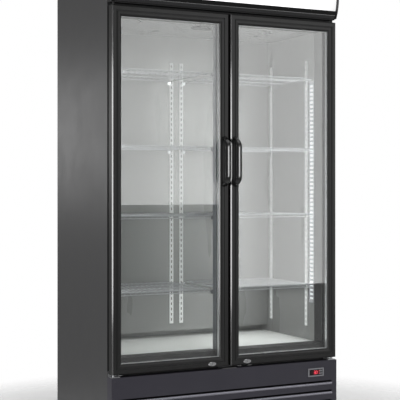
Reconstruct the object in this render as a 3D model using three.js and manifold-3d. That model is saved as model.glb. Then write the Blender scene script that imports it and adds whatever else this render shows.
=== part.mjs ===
// Two-door glass door merchandiser: an upright display refrigerator with a lit canopy on top,
// wire shelves on slotted rails inside and a louvred machine compartment below.
//
// Units are millimetres and +Z is up. Pieces are drawn in the cabinet frame: X runs to the right of
// someone facing the doors, with 0 at the middle; Y runs to the back, with 0 at the face that the
// doors close against; Z is 0 at the floor. The whole group is then moved along Y, so that the
// origin is under the middle of the outer box.

import * as THREE from 'three';
import Module from 'manifold-3d';
import { mergeVertices } from 'three/addons/utils/BufferGeometryUtils.js';

const wasm = await Module();
wasm.setup();

// ---------------------------------------------------------------- driving dimensions

// Overall cabinet
const cabinetWidth = 1120;
const cabinetDepth = 620;
const cabinetTop = 2080;
const footHeight = 50;
const baseHeight = 279;
const canopyHeight = 188;
const canopyRise = 10;

// Sheets, walls and gaps
const sheet = 1.5;
const fitGap = 0.3;
const sideWall = 48;
const backWall = 53;
const roofWall = 60;
const floorWall = 53;
const headerDepth = 44;
const ductDepth = 66;
const ductIntakeHeight = 30;
const faceThickness = 6;

// Doors
const doorSideInset = 3;
const doorCentreGap = 11;
const doorBottomGap = 12;
const doorTopGap = 16;
const doorStandoff = 8;
const doorThickness = 40;
const doorEdgeRadius = 8;
const doorEdgeSteps = 3;
const stileWidth = 43;
const topRailHeight = 45;
const bottomRailHeight = 43;
const glassUnitThickness = 24;
const glassCapture = 12;
const glassFrontLip = 9;
const hingeInset = 12;
const pinRadius = 5;
const pinLength = 14;
const pinClearance = 0.4;
const gasketInset = 16.5;
const gasketWidth = 14;

// Handles and locks
const handleLength = 225;
const handleWidth = 28;
const handleProjection = 42;
const handleThickness = 10;
const handleSlope = 28;
const handleBend = 18;
const handleBendSteps = 4;
const handleLow = 784;
const lockFromEdge = 82;
const lockRise = 14;
const lockRadius = 8;
const lockDepth = 16;
const lockProud = 3;
const camLength = 21;
const camWidth = 8;
const camThickness = 3;
const camClearance = 0.6;

// Inside
const floorAboveDoorBottom = 63;
const ceilingBelowDoorTop = 36;
const mullionWidth = 76;
const mullionDepth = 45;
const railWidth = 20;
const railProud = 3;
const slotPitch = 25.4;
const slotDatumBelowFloor = 9.4;
const topShelfHeadroom = 60;
const shelfShares = [0.204, 0.444, 0.667, 0.907];
const railStartAboveFloor = 65;
const railEndBelowCeiling = 125;
const frontRailSetback = 137;
const rearRailFromDuct = 37;
const centreRailOffset = 26;
const shelfSetback = 72;
const shelfBackGap = 19;
const shelfWallGap = 7.5;
const shelfWire = 6;
const shelfBars = 9;
const shelfLip = 18;
const lightWidth = 38;
const lightProud = 6;
const lightSetback = 86;
const lightStartAboveFloor = 179;
const lightEndBelowCeiling = 223;

// Air and cooling
const fanBlades = 5;
const fanBladeThickness = 2;
const fanBladePitch = 0.35;
const fanTipGap = 5;
const fanToBridge = 20;
const bridgeWidth = 16;
const bridgeThickness = 3;
const evaporatorFanRadius = 80;
const evaporatorFanSetback = 150;
const evaporatorFanDepth = 18;
const evaporatorMotorRadius = 30;
const evaporatorBridgeRise = 42;
const coilHeight = 120;
const coilSideGap = 132;
const coilLift = 25;
const coilBackGap = 29;
const coilPlateThickness = 2;
const coilPlateOverhang = 8;
const coilBendPitch = 35;
const coilBendRadius = 6;
const condenserFanShare = 0.365;
const condenserWidth = 500;
const condenserTopGap = 27.5;
const condenserThickness = 60;
const condenserLeftGap = 128;
const condenserSetback = 10;
const condenserLift = 12;
const condenserBends = 5;
const condenserBendRadius = 5;
const condenserFanDepth = 32;
const condenserMotorRadius = 34;
const condenserBridgeSetback = 80;
const compressorRadius = 85;
const compressorHeight = 200;
const compressorBackGap = 200;
const compressorFromMiddle = 230;
const compressorPlate = [210, 120];
const compressorMountRadius = 12;
const compressorMountHeight = 24;
const terminalBox = [40, 60, 60];
const trayWidth = 300;
const trayDepth = 210;
const trayHeight = 35;
const trayWall = 3;
const trayRightGap = 110;
const trayBackGap = 40;
const fanShaftRadius = 4;
const fanBoreRadius = 4.6;

// Base front
const bandHeight = 91.5;
const louvrePitch = 44;
const louvreSlot = 8;
const louvreLip = 12;
const louvreProud = 4;
const louvreSideMargin = 27;
const grilleLift = 8;
const controllerWidth = 84;
const controllerHeight = 38;
const controllerCentreDrop = 50;
const controllerRightGap = 72;
const controllerBodyDepth = 30;
const controllerRim = 5;
const controllerProud = 6;

// Rear of the base
const inletWidth = 48;
const inletHeight = 28;
const inletFromEdge = 90;
const inletDepth = 24;
const inletWall = 4;
const inletRise = 34;
const rearSlotPitch = 60;
const rearSlotWidth = 24;
const rearSlotMargins = [90, 40];

// Canopy
const canopyTrimHeight = 32;
const canopyTopTrim = 20;
const canopyBulge = 22.5;
const endCapThickness = 14;
const diffuserThickness = 3;
const lampRadius = 13;
const lampTray = [28, 40];

// Feet
const footRadius = 22;
const footStemRadius = 6;
const footInset = 60;
const footSetback = 45;
const footPadHeight = 8;
const footNutRadius = 12;
const footNutTop = 24;
const footStemRise = 25;
const panThickness = 2;

// Hinges
const hingePlate = 3;
const hingePlateReach = 26;
const keeperWidth = 70;
const keeperThickness = 2.5;

// ---------------------------------------------------------------- derived places

const halfWidth = cabinetWidth / 2;
const skinInner = halfWidth - sheet - fitGap;
const innerHalf = halfWidth - sideWall;
const baseTop = footHeight + baseHeight;
const canopyTop = cabinetTop + canopyRise;
const canopyBottom = canopyTop - canopyHeight;
const doorBottom = baseTop + doorBottomGap;
const doorTop = canopyBottom - doorTopGap;
const doorBack = -doorStandoff;
const doorFront = doorBack - doorThickness;
const doorInnerEdge = doorCentreGap / 2;
const doorOuterEdge = halfWidth - doorSideInset;
const pinX = doorOuterEdge - hingeInset;
const pinY = (doorFront + doorBack) / 2;
const floorLevel = doorBottom + floorAboveDoorBottom;
const ceilingLevel = doorTop - ceilingBelowDoorTop;
const deckTop = floorLevel - floorWall;
const linerBack = cabinetDepth - backWall;
const ductPlane = linerBack - ductDepth - sheet;
const roofLevel = cabinetTop - roofWall;
const mullionHalf = mullionWidth / 2;
const slotDatum = floorLevel - slotDatumBelowFloor;
const usableSlots = Math.floor((ceilingLevel - topShelfHeadroom - slotDatum) / slotPitch);
const shelfSlots = shelfShares.map((share) => Math.round(share * usableSlots));
const shelfTops = shelfSlots.map((slot) => Math.round(slotDatum + slot * slotPitch));
const railStart = floorLevel + railStartAboveFloor;
const railEnd = ceilingLevel - railEndBelowCeiling;
const handleFront = doorFront - handleProjection;
const panTop = footHeight + panThickness;
const condenserLow = footHeight + condenserLift;
const condenserHigh = deckTop - sheet - condenserTopGap;
const condenserFanRadius = (condenserHigh - condenserLow) * condenserFanShare;
const frameShift = -(cabinetDepth + handleFront) / 2;

// ---------------------------------------------------------------- materials

function finish(color, roughness, metalness) {
  return new THREE.MeshStandardMaterial({ color, roughness, metalness });
}

const blackPaint = finish(0x2e2e2f, 0.45, 0.2);
const charcoalPaint = finish(0x3a3842, 0.4, 0.2);
const greyPaint = finish(0x4d4d4e, 0.4, 0.2);
const whiteLiner = finish(0xd9dadb, 0.4, 0.1);
const foam = finish(0xd9c98a, 0.9, 0);
const blackPlastic = finish(0x1c1c1d, 0.3, 0);
const whitePlastic = finish(0xf2f2f2, 0.3, 0);
const glassMaterial = finish(0xbfc8c8, 0.05, 0);
const gasketRubber = finish(0x151515, 0.8, 0);
const chrome = finish(0xc8cacc, 0.15, 1);
const zincSteel = finish(0xa9acae, 0.35, 0.9);
const shelfCoat = finish(0xe4e5e6, 0.4, 0.1);
const aluminium = finish(0xb9bbbd, 0.35, 0.9);

// ---------------------------------------------------------------- solid helpers

// A closed geometry as a solid that can be joined and cut.
function solid(geometry) {
  geometry.deleteAttribute('normal');
  geometry.deleteAttribute('uv');
  const merged = mergeVertices(geometry, 1e-4);
  return new wasm.Manifold(new wasm.Mesh({
    numProp: 3,
    vertProperties: new Float32Array(merged.attributes.position.array),
    triVerts: new Uint32Array(merged.index.array),
  }));
}

// An upright box from its [low, high] pairs along X, Y and Z.
function block(x, y, z) {
  const geometry = new THREE.BoxGeometry(x[1] - x[0], y[1] - y[0], z[1] - z[0]);
  geometry.translate((x[0] + x[1]) / 2, (y[0] + y[1]) / 2, (z[0] + z[1]) / 2);
  return solid(geometry);
}

// A round bar along one axis ('x', 'y' or 'z') through a centre given across that axis.
function rod(axis, centre, span, radius, sides = 16) {
  const geometry = new THREE.CylinderGeometry(radius, radius, span[1] - span[0], sides);
  const middle = (span[0] + span[1]) / 2;
  if (axis === 'x') geometry.rotateZ(Math.PI / 2).translate(middle, centre[0], centre[1]);
  if (axis === 'y') geometry.translate(centre[0], middle, centre[1]);
  if (axis === 'z') geometry.rotateX(Math.PI / 2).translate(centre[0], centre[1], middle);
  return solid(geometry);
}

// A profile of [y, z] points swept along X from low to high.
function sweepAlongX(points, low, high) {
  const shape = new THREE.Shape(points.map(([y, z]) => new THREE.Vector2(y, z)));
  const geometry = new THREE.ExtrudeGeometry(shape, { depth: high - low, bevelEnabled: false });
  // Shape (x, y) and sweep z become Y, Z and X.
  const turn = new THREE.Matrix4().set(0, 0, 1, low, 1, 0, 0, 0, 0, 1, 0, 0, 0, 0, 0, 1);
  return solid(geometry.applyMatrix4(turn));
}

// A profile of [radius, height] points turned about an upright axis.
function turned(points, centre, sides = 20) {
  const profile = points.map(([radius, height]) => new THREE.Vector2(radius, height));
  const geometry = new THREE.LatheGeometry(profile, sides);
  geometry.rotateX(Math.PI / 2).translate(centre[0], centre[1], 0);
  return solid(geometry);
}

function join(first, ...others) {
  return others.reduce((sum, other) => sum.add(other), first);
}

function cut(base, ...tools) {
  return tools.reduce((rest, tool) => rest.subtract(tool), base);
}

// Distances from the middle plane, as an X pair on the left (-1) or right (1) side.
function sided(side, near, far) {
  return side < 0 ? [-far, -near] : [near, far];
}

const merchandiser = new THREE.Group();
merchandiser.position.y = frameShift;

function addPart(name, shape, material) {
  const result = shape.getMesh();
  const geometry = new THREE.BufferGeometry();
  geometry.setAttribute('position', new THREE.BufferAttribute(result.vertProperties, 3));
  geometry.setIndex(new THREE.BufferAttribute(result.triVerts, 1));
  geometry.computeVertexNormals();
  const mesh = new THREE.Mesh(geometry, material);
  mesh.name = name;
  merchandiser.add(mesh);
}

const sides = [['left', -1], ['right', 1]];

// ---------------------------------------------------------------- outer cabinet

function addOuterCabinet() {
  for (const [label, side] of sides) {
    const skin = block(sided(side, halfWidth - sheet, halfWidth), [0, cabinetDepth],
      [footHeight, cabinetTop]);
    addPart(`${label}_side_panel`, skin, greyPaint);
  }
  const across = [-skinInner, skinInner];
  const backSkin = [cabinetDepth - sheet, cabinetDepth];
  const insideBack = backSkin[0] - fitGap;
  addPart('top_panel', block(across, [faceThickness + fitGap, cabinetDepth],
    [cabinetTop - sheet, cabinetTop]), greyPaint);
  addPart('back_panel', block(across, backSkin, [deckTop, cabinetTop - sheet - fitGap]), greyPaint);
  addPart('machine_deck', block(across, [faceThickness + fitGap, insideBack], [deckTop - sheet, deckTop]),
    zincSteel);

  const foamBlock = block(across, [faceThickness + fitGap, insideBack],
    [deckTop + fitGap, cabinetTop - sheet - fitGap]);
  const cavityHalf = innerHalf + sheet + fitGap;
  const cavity = block([-cavityHalf, cavityHalf], [0, linerBack + sheet + fitGap],
    [floorLevel - sheet - fitGap, roofLevel + sheet + fitGap]);
  const headerHalf = innerHalf - fitGap;
  const header = block([-headerHalf, headerHalf], [faceThickness + fitGap, faceThickness + headerDepth],
    [ceilingLevel + sheet + fitGap, roofLevel + roofWall / 2]);
  addPart('insulation_foam', join(cut(foamBlock, cavity), header), foam);
}

// The face that the doors close against, with one wide opening, and the post that splits it.
function addFace() {
  const plate = block([-skinInner, skinInner], [0, faceThickness], [baseTop + fitGap, cabinetTop]);
  const opening = block([-innerHalf, innerHalf], [-1, faceThickness + 1], [floorLevel, ceilingLevel]);
  addPart('face_frame', cut(plate, opening), blackPaint);

  const post = block([-mullionHalf, mullionHalf], [0, mullionDepth],
    [floorLevel + fitGap, ceilingLevel - fitGap]);
  const rails = [-1, 1].map((side) => block(
    [side * centreRailOffset - railWidth / 2, side * centreRailOffset + railWidth / 2],
    [mullionDepth, mullionDepth + railProud],
    [railStart, railEnd],
  ));
  addPart('center_mullion', join(post, ...rails), blackPaint);
}

// ---------------------------------------------------------------- inner lining

function addLiner() {
  const wallFront = faceThickness + fitGap;
  const rearRail = ductPlane - rearRailFromDuct;
  for (const [label, side] of sides) {
    const wall = block(sided(side, innerHalf, innerHalf + sheet), [wallFront, linerBack],
      [floorLevel - sheet, roofLevel + sheet]);
    const rails = [frontRailSetback, rearRail].map((y) => block(
      sided(side, innerHalf - railProud, innerHalf),
      [y - railWidth / 2, y + railWidth / 2],
      [railStart, railEnd],
    ));
    addPart(`liner_${label}_wall`, join(wall, ...rails), whiteLiner);
  }
  const across = [-innerHalf + fitGap, innerHalf - fitGap];
  const headerBack = faceThickness + headerDepth + fitGap;
  addPart('liner_back_wall', block([-innerHalf - sheet, innerHalf + sheet],
    [linerBack + fitGap, linerBack + sheet], [floorLevel - sheet, roofLevel + sheet]), whiteLiner);
  addPart('liner_floor', block(across, [wallFront, linerBack], [floorLevel - sheet, floorLevel]), whiteLiner);
  addPart('liner_top', block(across, [headerBack, linerBack], [roofLevel, roofLevel + sheet]), whiteLiner);

  const ductAcross = [across[0] + fitGap, across[1] - fitGap];
  const ductStart = floorLevel + ductIntakeHeight;
  const duct = block(ductAcross, [ductPlane, ductPlane + sheet], [ductStart, ceilingLevel + sheet]);
  const ductRails = [-1, 1].map((side) => block(
    [side * centreRailOffset - railWidth / 2, side * centreRailOffset + railWidth / 2],
    [ductPlane - railProud, ductPlane],
    [railStart, railEnd],
  ));
  addPart('rear_duct_panel', join(duct, ...ductRails), whiteLiner);
  addPart('ceiling_panel', ceilingWithMotor(ductAcross), whiteLiner);
}

// The ceiling sheet with its fan opening, and the bridge that holds the fan motor above it.
function ceilingWithMotor(across) {
  const y = evaporatorFanSetback;
  const bridgeReach = evaporatorFanRadius + fanToBridge;
  const bridgeHeight = ceilingLevel + sheet + evaporatorBridgeRise;
  const bridgeY = [y - bridgeWidth / 2, y + bridgeWidth / 2];
  const panel = block(across, [wallFrontEdge(), ductPlane - fitGap], [ceilingLevel, ceilingLevel + sheet]);
  const opening = rod('z', [0, y], [ceilingLevel - 5, ceilingLevel + 10],
    evaporatorFanRadius + fanTipGap, 32);
  const legs = [-1, 1].map((side) => block(sided(side, bridgeReach - bridgeThickness, bridgeReach), bridgeY,
    [ceilingLevel + sheet / 2, bridgeHeight]));
  const bridge = block([-bridgeReach, bridgeReach], bridgeY, [bridgeHeight - bridgeThickness, bridgeHeight]);
  const motor = rod('z', [0, y], [bridgeHeight - 12, bridgeHeight + 40], evaporatorMotorRadius, 20);
  const shaft = rod('z', [0, y], [ceilingLevel + 12, bridgeHeight], fanShaftRadius, 12);
  return join(cut(panel, opening), ...legs, bridge, motor, shaft);
}

function wallFrontEdge() {
  return faceThickness + 2 * fitGap;
}

// ---------------------------------------------------------------- fans

// Blades on a hub with a bore for the motor shaft, along axis 'z' or 'y'.
function fanWheel(axis, centre, span, radius) {
  const hubRadius = radius * 0.26;
  const middle = (span[0] + span[1]) / 2;
  const blades = [];
  for (let index = 0; index < fanBlades; index += 1) {
    const geometry = new THREE.BoxGeometry(radius - hubRadius / 2, radius / 2, fanBladeThickness);
    geometry.rotateX(fanBladePitch);
    geometry.translate((radius + hubRadius / 2) / 2 - 3, 0, 0);
    geometry.rotateZ((index * 2 * Math.PI) / fanBlades);
    if (axis === 'z') geometry.translate(centre[0], centre[1], middle);
    if (axis === 'y') geometry.rotateX(-Math.PI / 2).translate(centre[0], middle, centre[1]);
    blades.push(solid(geometry));
  }
  const hub = rod(axis, centre, span, hubRadius, 20);
  const sweep = rod(axis, centre, [span[0] - 40, span[1] + 40], radius, 40);
  const bore = rod(axis, centre, [span[0] - 1, span[1] + 1], fanBoreRadius, 12);
  return cut(join(hub, ...blades).intersect(sweep), bore);
}

// ---------------------------------------------------------------- cooling above the ceiling

function addEvaporator() {
  const half = innerHalf - coilSideGap;
  const front = evaporatorFanSetback + evaporatorFanRadius + fanToBridge;
  const back = ductPlane - coilBackGap;
  const low = ceilingLevel + coilLift;
  const core = block([-half, half], [front, back], [low, low + coilHeight]);
  const plateY = [front - coilPlateOverhang, back + coilPlateOverhang];
  const plates = [-1, 1].map((side) => block(sided(side, half, half + coilPlateThickness), plateY,
    [low - 6, roofLevel - fitGap]));
  const returnBends = [-1, 0, 1].map((row) => rod('y', [half + 4, low + coilHeight / 2 + row * coilBendPitch],
    [front + 20, back - 20], coilBendRadius, 10));
  addPart('evaporator_coil', join(core, ...plates, ...returnBends), aluminium);
  addPart('evaporator_fan_blade', fanWheel('z', [0, evaporatorFanSetback],
    [ceilingLevel + 3, ceilingLevel + 3 + evaporatorFanDepth], evaporatorFanRadius), blackPlastic);
}

// ---------------------------------------------------------------- machine compartment

function addMachinery() {
  const condenserLeft = -halfWidth + condenserLeftGap;
  const condenser = [condenserLeft, condenserLeft + condenserWidth];
  const low = condenserLow;
  const high = condenserHigh;
  const coilFront = condenserSetback;
  const coilBack = coilFront + condenserThickness;
  const fanX = (condenser[0] + condenser[1]) / 2;
  const fanZ = (low + high) / 2;

  const core = block(condenser, [coilFront, coilBack], [low, high]);
  const feet = [0.1, 0.9].map((share) => {
    const x = condenser[0] + share * condenserWidth;
    return block([x - 10, x + 10], [coilFront, coilBack], [panTop + fitGap, low]);
  });
  const bendPitch = (high - low) / condenserBends;
  const bends = [];
  for (let z = low + bendPitch / 2; z < high; z += bendPitch) {
    bends.push(rod('y', [condenser[1] + 2, z], [coilFront + 10, coilBack - 10], condenserBendRadius, 10));
  }
  addPart('condenser_coil', join(core, ...feet, ...bends), aluminium);

  const plateFront = coilBack + fitGap;
  const plate = cut(
    block(condenser, [plateFront, plateFront + 2], [low, high]),
    rod('y', [fanX, fanZ], [plateFront - 1, plateFront + 5], condenserFanRadius + 6, 36),
  );
  const reach = condenserFanRadius + 14;
  const bridgeY = plateFront + condenserBridgeSetback;
  const bridgeZ = [fanZ - bridgeWidth / 2, fanZ + bridgeWidth / 2];
  const straps = [-1, 1].map((side) => {
    const edge = sided(side, reach, reach + bridgeThickness);
    return block([fanX + edge[0], fanX + edge[1]], [plateFront + 1, bridgeY + bridgeThickness], bridgeZ);
  });
  const bridge = block([fanX - reach, fanX + reach], [bridgeY, bridgeY + bridgeThickness], bridgeZ);
  const motor = rod('y', [fanX, fanZ], [bridgeY - 22, bridgeY + 20], condenserMotorRadius, 20);
  const shaft = rod('y', [fanX, fanZ], [plateFront + 14, bridgeY], fanShaftRadius, 12);
  addPart('condenser_fan_motor', join(plate, ...straps, bridge, motor, shaft), zincSteel);
  addPart('condenser_fan_blade', fanWheel('y', [fanX, fanZ],
    [plateFront + 12, plateFront + 12 + condenserFanDepth], condenserFanRadius), blackPlastic);

  addCompressor();
  addDrainTray();
}

function addCompressor() {
  const centre = [-compressorFromMiddle, cabinetDepth - compressorBackGap];
  const foot = panTop + fitGap;
  const domeStart = foot + 30;
  const domeEnd = foot + compressorHeight;
  const radius = compressorRadius;
  const dome = turned([
    [0, domeStart],
    [radius * 0.7, domeStart],
    [radius, domeStart + 25],
    [radius, domeEnd - 45],
    [radius * 0.75, domeEnd - 12],
    [0, domeEnd],
  ], centre, 24);
  const [plateHalfX, plateHalfY] = compressorPlate.map((size) => size / 2);
  const mountTop = foot + compressorMountHeight;
  const plate = block([centre[0] - plateHalfX, centre[0] + plateHalfX],
    [centre[1] - plateHalfY, centre[1] + plateHalfY], [mountTop - 2, domeStart + 2]);
  const mountX = plateHalfX - compressorMountRadius - 3;
  const mountY = plateHalfY - compressorMountRadius - 2;
  const mounts = [[-1, -1], [-1, 1], [1, -1], [1, 1]].map(([sideX, sideY]) => rod('z',
    [centre[0] + sideX * mountX, centre[1] + sideY * mountY], [foot, mountTop], compressorMountRadius, 14));
  const boxStart = centre[0] + radius - 8;
  const boxLow = domeStart + 50;
  const box = block([boxStart, boxStart + terminalBox[0]],
    [centre[1] - terminalBox[1] / 2, centre[1] + terminalBox[1] / 2], [boxLow, boxLow + terminalBox[2]]);
  addPart('compressor', join(dome, plate, ...mounts, box), blackPaint);
}

function addDrainTray() {
  const right = halfWidth - trayRightGap;
  const back = cabinetDepth - trayBackGap;
  const x = [right - trayWidth, right];
  const y = [back - trayDepth, back];
  const z = [panTop + fitGap, panTop + fitGap + trayHeight];
  const hollow = block([x[0] + trayWall, x[1] - trayWall], [y[0] + trayWall, y[1] - trayWall],
    [z[0] + trayWall, z[1] + 1]);
  addPart('drain_tray', cut(block(x, y, z), hollow), blackPlastic);
}

// ---------------------------------------------------------------- base

const footPlaces = [
  ['front_left', -1, footSetback],
  ['front_right', 1, footSetback],
  ['rear_left', -1, cabinetDepth - footSetback],
  ['rear_right', 1, cabinetDepth - footSetback],
];

function addBase() {
  const across = [-skinInner, skinInner];
  const stemTop = footHeight + footStemRise;
  const pan = block(across, [0, cabinetDepth - sheet - fitGap], [footHeight, panTop]);
  const stemHoles = footPlaces.map(([, side, y]) => rod('z', [side * (halfWidth - footInset), y],
    [footHeight - 1, panTop + 1], footStemRadius + 0.6, 16));
  addPart('base_pan', cut(pan, ...stemHoles), zincSteel);

  for (const [place, side, y] of footPlaces) {
    const pad = turned([
      [0, 0],
      [footRadius, 0],
      [footRadius, footPadHeight],
      [footNutRadius, footPadHeight + 7],
      [footNutRadius, footNutTop],
      [footStemRadius, footNutTop],
      [footStemRadius, stemTop],
      [0, stemTop],
    ], [side * (halfWidth - footInset), y], 20);
    addPart(`foot_${place}`, pad, zincSteel);
  }
  addFrontGrille();
  addRearGrille();
}

function addFrontGrille() {
  const low = footHeight + grilleLift;
  const plate = block([-halfWidth, halfWidth], [doorFront, doorFront + sheet], [low, baseTop]);
  const returns = [-1, 1].map((side) => block(sided(side, halfWidth - sheet, halfWidth),
    [doorFront + sheet / 2, -fitGap], [low, baseTop]));
  const topReturn = block([-halfWidth, halfWidth], [doorFront + sheet / 2, -fitGap],
    [baseTop - sheet, baseTop]);
  const louvreHalf = halfWidth - louvreSideMargin;
  const louvres = [];
  for (let top = baseTop - bandHeight; top - louvrePitch > low; top -= louvrePitch) {
    louvres.push(top);
  }
  const slots = louvres.map((top) => block([-louvreHalf, louvreHalf], [doorFront - 1, doorFront + sheet + 1],
    [top - louvreSlot, top]));
  const lips = louvres.map((top) => block([-louvreHalf, louvreHalf],
    [doorFront - louvreProud, doorFront + sheet], [top - louvreSlot - louvreLip, top - louvreSlot]));
  const body = cut(join(plate, ...returns, topReturn), ...slots, controllerCutout());
  addPart('front_grille', join(body, ...lips), charcoalPaint);
  addController();
}

function controllerPlace() {
  const right = halfWidth - controllerRightGap;
  const middle = baseTop - controllerCentreDrop;
  return {
    x: [right - controllerWidth, right],
    z: [middle - controllerHeight / 2, middle + controllerHeight / 2],
  };
}

function controllerCutout() {
  const { x, z } = controllerPlace();
  const rim = controllerRim;
  return block([x[0] + rim, x[1] - rim], [doorFront - 1, doorFront + 5], [z[0] + rim, z[1] - rim]);
}

function addController() {
  const { x, z } = controllerPlace();
  const rim = controllerRim + fitGap;
  const bezel = block(x, [doorFront - controllerProud, doorFront - fitGap], z);
  const body = block([x[0] + rim, x[1] - rim], [doorFront - 1, doorFront + controllerBodyDepth],
    [z[0] + rim, z[1] - rim]);
  addPart('temperature_controller', join(bezel, body), blackPlastic);
}

function addRearGrille() {
  const low = footHeight + 10;
  const high = deckTop - sheet - 4;
  const half = skinInner - 3;
  const plate = block([-half, half], [cabinetDepth - sheet, cabinetDepth], [low, high]);
  const slotZ = [low + rearSlotMargins[0], high - rearSlotMargins[1]];
  const slots = [];
  for (let x = -half + rearSlotPitch; x < half - rearSlotPitch * 1.5; x += rearSlotPitch) {
    slots.push(block([x, x + rearSlotWidth], [cabinetDepth - 3, cabinetDepth + 1], slotZ));
  }
  const inletX = half - inletFromEdge;
  const inletZ = low + inletRise;
  const inletBlock = (grow, front, back) => block(
    [inletX - inletWidth / 2 - grow, inletX + inletWidth / 2 + grow],
    [cabinetDepth - front, cabinetDepth + back],
    [inletZ - inletHeight / 2 - grow, inletZ + inletHeight / 2 + grow],
  );
  const socket = cut(inletBlock(0, inletDepth, 0), inletBlock(-inletWall, inletDepth - 6, 1));
  const cutout = inletBlock(fitGap, 3, 1);
  addPart('rear_grille', cut(plate, ...slots, cutout), greyPaint);
  addPart('power_inlet', socket, blackPlastic);
}

// ---------------------------------------------------------------- canopy

// Points along the bulged front, from the bottom up, set back from the outer curve by depth.
function canopyCurve(low, high, depth, steps) {
  const middle = (canopyBottom + canopyTop) / 2;
  const half = canopyHeight / 2;
  const points = [];
  for (let index = 0; index <= steps; index += 1) {
    const z = low + ((high - low) * index) / steps;
    const share = (z - middle) / half;
    points.push([doorFront - canopyBulge * (1 - share * share) + depth, z]);
  }
  return points;
}

function addCanopy() {
  const inner = halfWidth - endCapThickness - fitGap;
  const back = -fitGap;
  const trimTop = canopyBottom + canopyTrimHeight;
  const topTrim = canopyTop - canopyTopTrim;

  const outline = [[back, canopyTop], [back, canopyBottom], ...canopyCurve(canopyBottom, canopyTop, 0, 12)];
  const solidCanopy = sweepAlongX(outline, -inner, inner);
  const inside = [
    [back - sheet, canopyTop - sheet],
    [back - sheet, canopyBottom + sheet],
    ...canopyCurve(canopyBottom + sheet, canopyTop - sheet, sheet, 12),
  ];
  const hollow = sweepAlongX(inside, -inner - 1, inner + 1);
  const window = block([-inner - 1, inner + 1], [doorFront - 60, doorFront + 12], [trimTop, topTrim]);
  addPart('canopy_housing', cut(solidCanopy, hollow, window), blackPaint);

  const lensLow = trimTop + fitGap;
  const lensHigh = topTrim - fitGap;
  const lens = [
    ...canopyCurve(lensLow, lensHigh, 0.5, 10),
    ...canopyCurve(lensLow, lensHigh, 0.5 + diffuserThickness, 10).reverse(),
  ];
  addPart('canopy_diffuser', sweepAlongX(lens, -inner + fitGap, inner - fitGap), whitePlastic);

  for (const [label, side] of sides) {
    const span = sided(side, halfWidth - endCapThickness, halfWidth);
    addPart(`canopy_end_cap_${label}`, sweepAlongX(outline, span[0], span[1]), blackPlastic);
  }
  const lampZ = (canopyBottom + canopyTop) / 2;
  addPart('canopy_light', join(
    block([-inner + lampTray[1], inner - lampTray[1]], [-16, back - sheet - fitGap],
      [lampZ - lampTray[0] / 2, lampZ + lampTray[0] / 2]),
    rod('x', [-24, lampZ], [-inner + 60, inner - 60], lampRadius, 14),
  ), whitePlastic);
}

// ---------------------------------------------------------------- hinges and keeper

function addHinges() {
  const plate = hingePlate;
  const under = canopyBottom - fitGap;
  const reach = skinInner - 2;
  const pinTopSpan = [doorTop - pinLength, under - plate / 2];
  const topPins = [-1, 1].map((side) => rod('z', [side * pinX, pinY], pinTopSpan, pinRadius));
  const topBar = block([-reach, reach], [pinY - 10, -fitGap], [under - plate, under]);
  addPart('top_hinge_rail', join(topBar, ...topPins), blackPaint);

  for (const [label, side] of sides) {
    const x = sided(side, pinX - hingePlateReach, skinInner);
    const foot = block(x, [pinY - 12, -fitGap], [baseTop + fitGap, baseTop + fitGap + plate]);
    const leg = block(x, [-fitGap - plate, -fitGap], [baseTop + fitGap, doorBottom + 11]);
    const pin = rod('z', [side * pinX, pinY], [baseTop + plate / 2, doorBottom + pinLength], pinRadius);
    addPart(`bottom_hinge_${label}`, join(foot, leg, pin), chrome);
  }
  const keeperX = [-keeperWidth / 2, keeperWidth / 2];
  const keeperLow = baseTop + fitGap;
  addPart('center_keeper', join(
    block(keeperX, [doorFront + 2, -fitGap], [keeperLow, keeperLow + keeperThickness]),
    block(keeperX, [-fitGap - keeperThickness, -fitGap], [keeperLow, doorBottom + 9]),
  ), chrome);
}

// ---------------------------------------------------------------- doors

function addDoors() {
  for (const [label, side] of sides) {
    addDoorFrame(label, side);
    addGlassUnit(label, side);
    addGasket(label, side);
    addHandle(label, side);
    addLock(label, side);
  }
}

function glassPocket(side, clearance) {
  return {
    x: sided(side, doorInnerEdge + stileWidth - glassCapture - clearance,
      doorOuterEdge - stileWidth + glassCapture + clearance),
    y: [doorFront + glassFrontLip - clearance, doorFront + glassFrontLip + glassUnitThickness + clearance],
    z: [doorBottom + bottomRailHeight - glassCapture - clearance,
      doorTop - topRailHeight + glassCapture + clearance],
  };
}

// A door-sized slab with its four front edges rounded over.
function roundedSlab(x, y, z, radius) {
  const corners = [[x[0], z[0]], [x[1], z[0]], [x[1], z[1]], [x[0], z[1]]];
  const shape = new THREE.Shape(corners.map(([across, up]) => new THREE.Vector2(across, up)));
  const geometry = new THREE.ExtrudeGeometry(shape, {
    depth: y[1] - y[0] - radius,
    bevelThickness: radius,
    bevelSize: radius,
    bevelOffset: -radius,
    bevelSegments: doorEdgeSteps,
  });
  // The sweep runs along -Y, so its far bevel is the one kept at the front.
  geometry.rotateX(Math.PI / 2).translate(0, y[1], 0);
  const whole = solid(geometry);
  return whole.intersect(block([x[0] - 1, x[1] + 1], [y[0] - 1, y[1]], [z[0] - 1, z[1] + 1]));
}

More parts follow.
